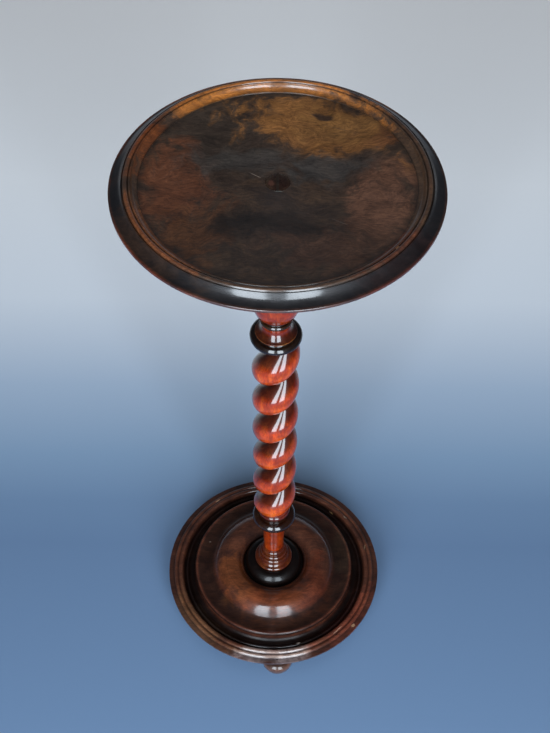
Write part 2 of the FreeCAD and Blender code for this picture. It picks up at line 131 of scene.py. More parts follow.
baseBoard = {
    "steps": 224, "arris": 0.4,
    "outline": [
        (14.15, 23, 0), (130.5, 23, 0), (130.5, 30, 0), (139, 40, -0.2), (139, 43, 0),
        (132.4, 43, 0), (127.4, 44.4, 0.34), (126.4, 44.4, 0), (120.4, 44.4, 0.34), (118.4, 38, 0),
        (117.2, 39.2, 0), (112.6, 39.2, 0.42), (104, 49, -0.45), (101.6, 53.2, 0.2),
        (100.4, 52.8, 0), (78.5, 55.6, -0.12), (42.6, 60.5, 0.25), (39.8, 57.5, 0.25),
        (39.2, 53, 0), (35.5, 53, 0), (36.7, 61.5, 0), (24.7, 72, 0.2), (14.15, 72, 0),
        (14.15, 23, 0),
    ],
}
baseTurned = turnOnLathe("baseTurned", baseBoard["outline"], baseBoard["steps"], baseBoard["arris"])
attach(baseTurned, "root")
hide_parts("base_board")
print("base board turned")


columnEnds = {
    "steps": 96, "arris": 0.3,
    "lower": [
        (0, 23, 0), (14, 23, 0), (14, 72, 0), (22.5, 72, 0), (22.5, 77, 0.34),
        (18, 82, -0.2), (18, 88, 0.25), (16, 88, 0), (16, 93.5, 0.25), (14.2, 93.5, 0),
        (14.2, 95.5, 0), (13.4, 95.5, 0), (13.4, 101, 0.25), (13, 101, 0),
        (13, 103.5, 0), (12.2, 103.5, 0), (14, 149, 0), (18.5, 166, -0.12),
        (19.3, 166, 0), (19.3, 168.5, 0), (20.5, 168.5, 0), (20.5, 181.5, 0.47),
        (18.3, 181.5, 0), (18.3, 186.5, 0), (18.3, 193, 0.2), (17.8, 193, 0),
        (18.6, 200, -0.12), (0, 200, 0),
    ],
    "upper": [
        (0, 517.54, 0), (25.15, 517.54, 0), (22.2, 527.24, 0.37), (21.9, 528.24, 0),
        (21.9, 529.44, 0), (21.6, 529.44, 0), (16, 545.04, -0.2), (16, 550.04, 0.25),
        (14.5, 550.04, 0), (14.5, 558.04, 0),
        (21, 560.04, 0), (22, 561.04, 0), (25, 603.54, 0.08), (13.5, 668.54, -0.08),
        (15, 668.54, 0), (15, 670.74, 0), (15, 677.24, 0.34), (15, 679.44, 0),
        (26, 706.44, -0.2), (27.3, 706.44, 0), (27.3, 708.94, 0), (25.5, 708.94, 0),
        (25.5, 717.94, 0.25), (11.25, 717.94, 0), (11.25, 732.34, 0), (0, 732.34, 0),
    ],
}
wedgeCut = {
    "length": 32, "mouth": 2.4, "tip": 0.8,
    "baseMouth": 23, "baseDepth": 18, "topMouth": 732.34, "topDepth": 11,
}


def sawKerf(piece, mouth, tip):
    # the tapered saw cut that the wedge is driven into
    bpy.ops.object.select_all(action="DESELECT")
    bpy.ops.mesh.primitive_cube_add(size=mm)
    cutter = bpy.context.object
    for vertex in cutter.data.vertices:
        atMouth = (vertex.co.z > 0) == (mouth > tip)
        vertex.co.x *= wedgeCut["mouth" if atMouth else "tip"]
        vertex.co.y *= wedgeCut["length"]
        vertex.co.z = (mouth if atMouth else tip) * mm
    onlySelect(piece)
    cut = piece.modifiers.new("kerf", "BOOLEAN")
    cut.operation = "DIFFERENCE"
    cut.solver = "EXACT"
    cut.object = cutter
    bpy.ops.object.modifier_apply(modifier="kerf")
    bpy.data.objects.remove(cutter)


columnLower = turnOnLathe("columnLower", columnEnds["lower"], columnEnds["steps"],
                          columnEnds["arris"])
columnUpper = turnOnLathe("columnUpper", columnEnds["upper"], columnEnds["steps"],
                          columnEnds["arris"])
sawKerf(columnLower, wedgeCut["baseMouth"], wedgeCut["baseMouth"] + wedgeCut["baseDepth"])
sawKerf(columnUpper, wedgeCut["topMouth"], wedgeCut["topMouth"] - wedgeCut["topDepth"])
print("column ends turned and sawn for their wedges")


twist = {
    "crest": 25.9, "valley": 9.3, "pitch": 52.9,
    "crestAtRight": 123.1,  # a height at which the crest passes the right-hand side
    "turns": 9, "stepsPerTurn": 96, "step": 5,
    "bottom": 199.5, "bottomRounding": 15, "bottomRadius": 18.6,
    "top": 517.8, "topRounding": 6, "topRadius": 23,
    "mergeWithin": 0.03, "smoothBelow": 50,
}


def reachNearEnd(distance, rounding, endRadius):
    # how far out the strand stands at a distance from the turned end
    if distance >= rounding:
        return math.inf
    share = max(distance, 0) / rounding
    return endRadius + (twist["crest"] - endRadius) * math.sqrt(1 - (1 - share) ** 2)


def carveTwist():
    half = twist["pitch"] / 2
    swell = (twist["crest"] - twist["valley"]) / twist["pitch"]
    start = (twist["valley"], twist["crestAtRight"] - half)
    end = (twist["valley"], twist["crestAtRight"] + half)
    strand = drawOutline("twistStrand", [start] + arcPoints(start, end, swell, twist["step"]))
    bpy.ops.object.mode_set(mode="OBJECT")
    onlySelect(strand)
    climb = strand.modifiers.new("climb", "SCREW")
    climb.axis = "Z"
    climb.angle = math.tau
    climb.screw_offset = twist["pitch"] * mm
    climb.iterations = twist["turns"]
    climb.steps = climb.render_steps = twist["stepsPerTurn"]
    bpy.ops.object.modifier_apply(modifier="climb")
    bpy.ops.object.mode_set(mode="EDIT")
    bpy.ops.mesh.select_all(action="SELECT")
    bpy.ops.mesh.remove_doubles(threshold=twist["mergeWithin"] * mm)
    for height, cutBelow in ((twist["bottom"], True), (twist["top"], False)):
        bpy.ops.mesh.select_all(action="SELECT")
        bpy.ops.mesh.bisect(plane_co=(0, 0, height * mm), plane_no=(0, 0, 1), use_fill=True,
                            clear_inner=cutBelow, clear_outer=not cutBelow)
    bpy.ops.mesh.select_all(action="SELECT")
    bpy.ops.mesh.normals_make_consistent(inside=False)
    bpy.ops.object.mode_set(mode="OBJECT")
    for vertex in strand.data.vertices:
        radius = math.hypot(vertex.co.x, vertex.co.y) / mm
        height = vertex.co.z / mm
        reach = min(reachNearEnd(height - twist["bottom"], twist["bottomRounding"],
                                 twist["bottomRadius"]),
                    reachNearEnd(twist["top"] - height, twist["topRounding"], twist["topRadius"]))
        if radius > reach:
            vertex.co.x *= reach / radius
            vertex.co.y *= reach / radius
    onlySelect(strand)
    bpy.ops.object.shade_smooth_by_angle(angle=math.radians(twist["smoothBelow"]))
    return strand


twistStrand = carveTwist()
for piece in (columnLower, columnUpper, twistStrand):
    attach(piece, "root")
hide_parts("column")
print("twist carved:", len(twistStrand.data.polygons), "faces")


bunFeet = {
    "steps": 72, "arris": 0.3, "count": 3, "circle": 118.5, "firstAngle": -87,
    "outline": [
        (0, 0, 0), (12.5, 0, 0), (19.5, 15, 0.12), (14, 23, 0.2), (8, 23, 0), (8, 32, 0),
        (0, 32, 0),
    ],
}


def copyTo(piece, name, place):
    # a copy with its own mesh, its place in the mesh
    onlySelect(piece)
    bpy.ops.object.duplicate(linked=False)
    copy = bpy.context.object
    copy.name = copy.data.name = name
    bpy.ops.object.mode_set(mode="EDIT")
    bpy.ops.mesh.select_all(action="SELECT")
    bpy.ops.transform.translate(value=place)
    bpy.ops.object.mode_set(mode="OBJECT")
    return copy


footPattern = turnOnLathe("footPattern", bunFeet["outline"], bunFeet["steps"], bunFeet["arris"])
feet = []
for index in range(bunFeet["count"]):
    angle = math.radians(bunFeet["firstAngle"] + 360 * index / bunFeet["count"])
    place = (bunFeet["circle"] * math.cos(angle) * mm, bunFeet["circle"] * math.sin(angle) * mm, 0)
    foot = copyTo(footPattern, "bunFoot%d" % (index + 1), place)
    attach(foot, "root")
    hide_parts("foot_%d" % (index + 1))
    feet.append(foot)
bpy.data.objects.remove(footPattern)
print("feet turned")


def addNode(tree, kind, inputs=None, **settings):
    # an input is either another node's output or a plain value
    made = tree.nodes.new("ShaderNode" + kind)
    for name, value in settings.items():
        setattr(made, name, value)
    for name, value in (inputs or {}).items():
        if isinstance(value, bpy.types.NodeSocket):
            tree.links.new(value, made.inputs[name])
        else:
            made.inputs[name].default_value = value
    return made


def vectorMath(tree, operation, first, second=(0, 0, 0)):
    made = addNode(tree, "VectorMath", {0: first, 1: second}, operation=operation)
    return made.outputs["Value" if operation == "LENGTH" else "Vector"]


def mathNode(tree, operation, first, second=0.0):
    return addNode(tree, "Math", {0: first, 1: second}, operation=operation).outputs[0]


def spread(tree, value, fromLow, fromHigh, toLow, toHigh):
    # smooth change from toLow to toHigh while value goes from fromLow to fromHigh
    made = addNode(tree, "MapRange", {"Value": value, "From Min": fromLow, "From Max": fromHigh,
                                      "To Min": toLow, "To Max": toHigh})
    made.interpolation_type = "SMOOTHSTEP"
    return made.outputs[0]


def colourRamp(tree, value, stops):
    made = addNode(tree, "ValToRGB", {"Fac": value})
    elements = made.color_ramp.elements
    while len(elements) < len(stops):
        elements.new(1.0)
    for element, (position, colour) in zip(elements, stops):
        element.position = position
        element.color = (*colour, 1) if isinstance(colour, tuple) else (colour, colour, colour, 1)
    return made.outputs["Color"]


def mixColours(tree, blend, amount, under, over):
    inputs = {0: amount, 6: under, 7: over}
    inputs = {key: (*value, 1) if isinstance(value, tuple) else value for key,
              value in inputs.items()}
    return addNode(tree, "Mix", inputs, data_type="RGBA", blend_type=blend).outputs[2]


polish = {
    # each layer of noise: its detail, roughness and distortion
    "push": (3, 0.5, 0), "figure": (8, 0.66, 0.5), "clouds": (7, 0.64, 0.4), "pores": (3, 0.7, 0),
    "fibres": (4, 0.75, 0), "smears": (5, 0.65, 0), "waves": (2, 0.5, 0), "chips": (2, 0.5, 0),
    "stripeTones": [(0.3, 0.62), (0.7, 1.38)], "ringTones": [(0.3, 0.6), (0.7, 1.3)],
    "ringScale": 700.0, "ringDetail": 3.0, "cloudRange": (0.25, 0.75), "smearRange": (0.35, 0.68),
    "poreRange": (0.36, 0.52, 0.75), "poreBright": 1.12, "fibreRange": (0.32, 0.68),
    "patchCore": 0.4, "patchFade": 1.1, "patchStep": 0.0004,
    "chipScale": 900.0, "chipRagged": 0.9, "chipCore": 0.9, "chipFade": 1.25,
    "refraction": 1.5,
}


def noise(tree, place, scale, layer):
    detail, roughness, distortion = polish[layer]
    return addNode(tree, "TexNoise", {"Vector": place, "Scale": scale, "Detail": detail,
                                      "Roughness": roughness, "Distortion": distortion}).outputs


def alongGrain(tree, place, look, scale):
    # coordinates turned to the grain and scaled along and across it
    turn = math.radians(look["grainTurn"])
    return addNode(tree, "Mapping", {"Vector": place, "Rotation": (0, 0, turn),
                                     "Scale": scale}).outputs[0]


def awayFrom(tree, place, middle, size, turn):
    # one at the edge of an ellipse round the middle, nought at the middle
    moved = vectorMath(tree, "SUBTRACT", place, middle)
    local = addNode(tree, "Mapping", {"Vector": moved, "Rotation": (0, 0, math.radians(-turn))})
    return vectorMath(tree, "LENGTH", vectorMath(tree, "DIVIDE", local.outputs[0], size))


def patchMask(tree, place, patch, ragged):
    # one where a patch lies, fading out with a ragged edge
    away = awayFrom(tree, place, (*patch["at"], 0), (*patch["size"], 1), patch.get("turn", 0))
    core = patch.get("core", polish["patchCore"])
    return spread(tree, mathNode(tree, "ADD", away, ragged), core, polish["patchFade"],
                  patch["amount"], 0.0)


def chipMask(tree, place, mark):
    # one inside a mark (a chip, dent, scratch, or a painted highlight), with a crumbled edge
    crumbs = noise(tree, place, polish["chipScale"], "chips")["Fac"]
    away = awayFrom(tree, place, mark["at"], mark["size"], mark["turn"])
    reach = mathNode(tree, "ADD", away, mathNode(tree, "MULTIPLY", crumbs, polish["chipRagged"]))
    return spread(tree, reach, polish["chipCore"], polish["chipFade"], mark["amount"], 0.0)


def toneAlong(tree, along, stops):
    # each stop is a place and its tone; a ramp holds 256 entries, so fine steps need short runs
    low, high = stops[0][0], stops[-1][0]
    share = addNode(tree, "MapRange", {"Value": along, "From Min": low, "From Max": high})
    return colourRamp(tree, share.outputs[0],
                      [((at - low) / (high - low), value) for at, value in stops])


def acrossStrand(tree, split, sway):
    # place across the strand of the twist, from one crest up to the next
    turn = mathNode(tree, "DIVIDE", mathNode(tree, "ARCTAN2", split["Y"], split["X"]), math.tau)
    above = mathNode(tree, "SUBTRACT", split["Z"], twist["crestAtRight"] * mm)
    climb = mathNode(tree, "DIVIDE", above, twist["pitch"] * mm)
    return mathNode(tree, "FRACT",
                    mathNode(tree, "ADD", mathNode(tree, "SUBTRACT", climb, turn), sway))


def polishedWood(name, look):
    material = bpy.data.materials.new(name)
    material.use_nodes = True
    tree = material.node_tree
    shader = tree.nodes["Principled BSDF"]
    place = addNode(tree, "TexCoord").outputs["Object"]
    split = addNode(tree, "SeparateXYZ", {0: place}).outputs
    flat = addNode(tree, "CombineXYZ", {"X": split["X"], "Y": split["Y"]}).outputs[0]
    radius = vectorMath(tree, "LENGTH", flat)

    def tinted(under, over, amount=1.0):
        return mixColours(tree, "MULTIPLY", amount, under, over)

    # the timber's figure wanders: its coordinates are pushed about first
    push = noise(tree, place, look["wanderScale"], "push")["Color"]
    centred = vectorMath(tree, "SUBTRACT", push, (0.5, 0.5, 0.5))
    warped = vectorMath(tree, "ADD", place,
                        vectorMath(tree, "MULTIPLY", centred, (look["wander"],) * 3))
    grain = alongGrain(tree, warped, look, look["figureScale"])
    figure = noise(tree, grain, 1.0, "figure")["Fac"]
    colour = colourRamp(tree, figure, look["figure"])
    stripe = colourRamp(tree, figure, polish["stripeTones"])

    # clouds of old polish, and patches of tone: most are the wood's own colour and wear, a few are
    # painted light and painted reflection
    flatPlace = vectorMath(tree, "MULTIPLY", warped, (1, 1, 0))
    clouds = noise(tree, warped, look["cloudScale"], "clouds")["Fac"]
    ragged = spread(tree, clouds, *polish["cloudRange"], look["ragged"], -look["ragged"])
    edge = look["patchEdge"]
    inner = spread(tree, radius, edge - polish["patchStep"], edge, 1.0, 0.0)
    outer = mathNode(tree, "SUBTRACT", 1.0, inner)
    for patch in look["patches"]:
        side = outer if patch.get("beyond") else inner
        mask = mathNode(tree, "MULTIPLY", patchMask(tree, flatPlace, patch, ragged), side)
        colour = mixColours(tree, "MIX", mask, colour, tinted(patch["colour"], stripe))
    colour = tinted(colour, colourRamp(tree, clouds, look["clouds"]))

    # pores: short dark dashes along the grain
    pores = noise(tree, alongGrain(tree, place, look, look["poreScale"]), 1.0, "pores")["Fac"]
    poreTones = zip(polish["poreRange"], (look["poreDark"], 1.0, polish["poreBright"]))
    poreTone = colourRamp(tree, pores, list(poreTones))
    colour = tinted(colour, poreTone)

    # fibres: finer strokes that wander with the figure
    fibres = noise(tree, alongGrain(tree, warped, look, look["fibreScale"]), 1.0, "fibres")["Fac"]
    fibreTones = zip(polish["fibreRange"], (1 - look["fibre"], 1 + look["fibre"]))
    colour = tinted(colour, colourRamp(tree, fibres, list(fibreTones)))

    # tone along the height, out from the middle and across the twist, and faint lathe rings; the
    # first three hold painted light and shade as well as the wood's own tone
    for key, along in (("byHeight", split["Z"]), ("byRadius", radius)):
        for stops in look.get(key) or []:
            colour = tinted(colour, toneAlong(tree, along, stops))
    if look.get("byClimb"):
        sway = mathNode(tree, "MULTIPLY", mathNode(tree, "SUBTRACT", clouds, 0.5),
                        look["climbSway"])
        across = acrossStrand(tree, split, sway)
        colour = tinted(colour, toneAlong(tree, across, look["byClimb"]))
    ring = mathNode(tree, "ADD", radius, split["Z"])
    rings = addNode(tree, "TexNoise", {"W": ring, "Scale": polish["ringScale"],
                                       "Detail": polish["ringDetail"]}, noise_dimensions="1D")
    ringTone = colourRamp(tree, rings.outputs["Fac"], polish["ringTones"])
    colour = tinted(colour, ringTone, look["rings"])

    # chips, dents and scratches, and one painted highlight, each in its own place
    height = mathNode(tree, "MULTIPLY", poreTone, look["poreDepth"])
    for mark in look["marks"]:
        mask = chipMask(tree, place, mark)
        colour = mixColours(tree, "MIX", mask, colour, mark["colour"])
        height = mathNode(tree, "SUBTRACT", height, mathNode(tree, "MULTIPLY", mask, mark["depth"]))
    tree.links.new(colour, shader.inputs["Base Color"])

    # polish, duller where hands and cloths have worn it and where dust has settled
    smears = noise(tree, warped, look["smearScale"], "smears")["Fac"]
    tree.links.new(spread(tree, smears, *polish["smearRange"], *look["rough"]),
                   shader.inputs["Roughness"])
    shader.inputs["IOR"].default_value = polish["refraction"]
    shader.inputs["Specular IOR Level"].default_value = look["specular"]
    shader.inputs["Coat Roughness"].default_value = look["coatRough"]
    if look.get("coatByRadius"):
        tree.links.new(toneAlong(tree, radius, look["coatByRadius"]), shader.inputs["Coat Weight"])
    else:
        shader.inputs["Coat Weight"].default_value = look["coat"]
    waves = noise(tree, place, look["waveScale"], "waves")["Fac"]
    height = mathNode(tree, "ADD", height, mathNode(tree, "MULTIPLY", waves, look["waveDepth"]))
    bump = addNode(tree, "Bump", {"Height": height, "Strength": 1.0, "Distance": 1.0})
    tree.links.new(bump.outputs[0], shader.inputs["Normal"])
    return material


topLook = {
    "grainTurn": 14, "figureScale": (26, 62, 62), "poreScale": (120, 900, 900), "poreDark": 0.72,
    "poreDepth": 0.00003, "fibreScale": (90, 520, 520), "fibre": 0.42, "wanderScale": 15,
    "wander": 0.065, "cloudScale": 34, "ragged": 0.55, "patchEdge": 0.1262,
    "figure": [(0.3, (0.018, 0.011, 0.008)), (0.5, (0.033, 0.020, 0.013)),
               (0.72, (0.056, 0.032, 0.018))],
    "clouds": [(0.3, (0.72, 0.72, 0.76)), (0.66, (1.2, 1.18, 1.14))],
    "patches": [
        {"at": (-0.060, 0.055), "size": (0.075, 0.060), "colour": (0.026, 0.018, 0.013),
         "amount": 0.8},
        {"at": (-0.096, -0.012), "size": (0.045, 0.070), "colour": (0.074, 0.026, 0.012),
         "amount": 0.95},
        {"at": (-0.074, -0.064), "size": (0.040, 0.040), "colour": (0.060, 0.024, 0.010),
         "amount": 0.9},
        {"at": (0.095, -0.022), "size": (0.040, 0.060), "colour": (0.078, 0.036, 0.021),
         "amount": 0.95},
        {"at": (0.045, -0.082), "size": (0.070, 0.034), "colour": (0.042, 0.020, 0.012),
         "amount": 0.85},
        # painted reflection: these two tan patches at the back right stand for the sheen of light
        # reflected in the polished field
        {"at": (0.050, 0.080), "size": (0.092, 0.047), "colour": (0.112, 0.047, 0.014),
         "amount": 0.98, "turn": -14, "core": 0.55},
        {"at": (0.062, 0.084), "size": (0.050, 0.026), "colour": (0.118, 0.054, 0.016),
         "amount": 0.8, "turn": -10},
        {"at": (0.106, 0.058), "size": (0.022, 0.026), "colour": (0.060, 0.022, 0.010),
         "amount": 0.7},
        {"at": (-0.026, 0.024), "size": (0.075, 0.026), "colour": (0.029, 0.024, 0.020),
         "amount": 0.9, "turn": 6},
        {"at": (0.054, 0.024), "size": (0.048, 0.020), "colour": (0.028, 0.024, 0.021),
         "amount": 0.9, "turn": 8},
        {"at": (-0.018, -0.058), "size": (0.062, 0.022), "colour": (0.011, 0.007, 0.005),
         "amount": 0.9, "turn": 6},
        {"at": (0.0356, 0.0998), "size": (0.009, 0.0045), "colour": (0.022, 0.012, 0.008),
         "amount": 0.95},
        # painted light: the rim's inner wall at the back is made brighter and more orange where it
        # faces the panes
        {"at": (-0.020, 0.150), "size": (0.155, 0.115), "colour": (0.180, 0.068, 0.013),
         "amount": 1.0, "beyond": True},
        {"at": (-0.120, 0.050), "size": (0.040, 0.070), "colour": (0.085, 0.026, 0.008),
         "amount": 0.9, "beyond": True},
        {"at": (-0.108, -0.082), "size": (0.040, 0.070), "colour": (0.075, 0.027, 0.010),
         "amount": 0.9, "beyond": True, "turn": 40},
        {"at": (0.100, -0.092), "size": (0.036, 0.060), "colour": (0.046, 0.016, 0.009),
         "amount": 0.8, "beyond": True, "turn": -40},
    ],
    # painted shade: the underside of the tray below the lip is at half tone
    "byHeight": [[(0.7170, 0.5), (0.7268, 0.5), (0.7273, 1.0), (0.7400, 1.0)]],
    # painted light and shade on the rim: inner wall and bead lighter where light falls on them,
    # dark lines in the quirks and at the foot of the wall; the outer sweep darker and the lip
    # redder
    "byRadius": [[(0.0, (0.9, 0.9, 0.95)), (0.1195, (1, 1, 1)), (0.1262, (0.6, 0.6, 0.6)),
                  (0.1270, (1.2, 1.1, 1.0)), (0.1322, (1.4, 1.25, 1.1)), (0.1336, (0.9, 0.9, 0.9)),
                  (0.1343, (0.3, 0.3, 0.3)), (0.1352, (1.4, 1.2, 1.1)), (0.1384, (1.5, 1.3, 1.1)),
                  (0.1393, (0.3, 0.3, 0.3)), (0.1410, (0.20, 0.28, 0.46)),
                  (0.1500, (0.17, 0.24, 0.40)), (0.1509, (0.6, 0.5, 0.6)),
                  (0.1525, (1.0, 0.6, 0.6))]],
    "rings": 0.0,
    "marks": [
        {"at": (-0.020, 0.0087, 0.7323), "size": (0.009, 0.0007, 0.01), "turn": -33,
         "colour": (0.13, 0.10, 0.08), "amount": 0.8, "depth": 0.0001},
        # painted highlight: a pale dash along the front edge of the wedged tenon's joint in the top
        {"at": (0.0005, -0.0118, 0.7323), "size": (0.0065, 0.0008, 0.01), "turn": -4,
         "colour": (0.15, 0.16, 0.14), "amount": 0.8, "depth": 0.0001},
        {"at": (0.1029, -0.0867, 0.737), "size": (0.004, 0.0025, 0.004), "turn": 50,
         "colour": (0.20, 0.10, 0.05), "amount": 0.9, "depth": 0.0003},
        {"at": (0.055, 0.075, 0.7323), "size": (0.020, 0.0006, 0.01), "turn": -20,
         "colour": (0.03, 0.02, 0.015), "amount": 0.6, "depth": 0.0001},
        {"at": (0.055, -0.050, 0.7323), "size": (0.013, 0.0005, 0.01), "turn": -28,
         "colour": (0.08, 0.06, 0.05), "amount": 0.6, "depth": 0.0001},
    ],
    "smearScale": 26, "rough": (0.34, 0.52), "specular": 0.3, "coatRough": 0.13,
    "coatByRadius": [(0.0, 0.30), (0.118, 0.30), (0.1262, 0.6), (0.1275, 0.9), (0.1390, 0.9),
                     (0.1405, 0.8), (0.153, 0.8)],
    "waveScale": 60, "waveDepth": 0.0003,
}
columnLook = {
    "grainTurn": 0, "figureScale": (90, 90, 18), "poreScale": (1100, 1100, 130), "poreDark": 0.70,
    "poreDepth": 0.00002, "fibreScale": (420, 420, 110), "fibre": 0.28, "wanderScale": 20,
    "wander": 0.02, "cloudScale": 60, "ragged": 0.4, "patchEdge": 0.1,
    "figure": [(0.28, (0.15, 0.012, 0.001)), (0.5, (0.29, 0.034, 0.003)),
               (0.72, (0.46, 0.086, 0.007))],
    "clouds": [(0.3, (0.50, 0.40, 0.40)), (0.6, (1.1, 1.1, 1.1))],
    "patches": [],
    "byHeight": [
        [(0.0200, 0.1), (0.0718, (0.15, 0.2, 0.4)), (0.0780, (0.18, 0.24, 0.4)),
         (0.0820, (0.19, 0.26, 0.45)), (0.1000, (0.19, 0.26, 0.45)), (0.1036, (0.3, 0.3, 0.4)),
         (0.1060, (0.7, 0.6, 0.4)), (0.1480, (0.7, 0.6, 0.4)), (0.1600, (0.25, 0.25, 0.3)),
         (0.1660, (0.04, 0.08, 0.2)), (0.1860, (0.04, 0.08, 0.2)), (0.1880, (0.16, 0.18, 0.25)),
         (0.1930, (0.25, 0.2, 0.25)), (0.2030, 1.0)],
        [(0.5150, 1.0), (0.5174, (0.02, 0.05, 0.2)), (0.5285, (0.02, 0.05, 0.2)),
         # painted highlight: a lighter line along the top arris of the black collar
         (0.5288, (0.4, 0.8, 1.2)), (0.5293, (0.4, 0.8, 1.2)), (0.5295, (0.10, 0.13, 0.25)),
         (0.5340, (0.12, 0.13, 0.25)), (0.5390, (0.45, 0.36, 0.35)), (0.5440, (0.65, 0.5, 0.45)),
         (0.5451, (0.05, 0.16, 0.5)), (0.5500, (0.05, 0.16, 0.5)), (0.5503, (0.05, 0.10, 0.3)),
         (0.5594, (0.05, 0.10, 0.3)), (0.5620, 1.0)],
        [(0.5590, 1.0), (0.5625, (0.58, 0.46, 0.34)), (0.6650, (0.58, 0.46, 0.34)),
         # painted shade: darker on the capital under the tray
         (0.6800, (0.25, 0.2, 0.2)), (0.7180, (0.25, 0.2, 0.2)), (0.7310, (0.11, 0.5, 3.2)),
         (0.7324, (0.11, 0.5, 3.2))],
    ],
    "byRadius": [[(0.0, (0.55, 0.45, 0.45)), (0.011, (0.8, 0.75, 0.75)), (0.020, (1, 1, 1)),
                  (0.030, (1, 1, 1))]],
    "rings": 0.1,
    "marks": [
        {"at": (-0.0060, -0.001, 0.7323), "size": (0.0042, 0.0060, 0.01), "turn": 10,
         "colour": (0.055, 0.022, 0.014), "amount": 0.8, "depth": 0.0},
    ],
    "smearScale": 60, "rough": (0.30, 0.45), "specular": 0.1, "coat": 1.0, "coatRough": 0.08,
    "waveScale": 70, "waveDepth": 0.00025,
}
# across each strand: painted light on the lower flank, which faces the panes; darker on the upper
# flank towards the valley
twistLook = dict(columnLook, marks=[], rings=0.0, byHeight=None, byRadius=None, climbSway=0.16,
                 byClimb=[(0.0, 1.05), (0.10, (1.05, 0.92, 0.85)), (0.20, (0.62, 0.50, 0.5)),
                          (0.31, (0.20, 0.22, 0.5)), (0.50, (0.07, 0.09, 0.3)),
                          (0.60, (0.36, 0.22, 0.2)), (0.74, (0.95, 0.68, 0.5)),
                          (0.88, (1.12, 1.1, 0.9)), (1.0, 1.05)])
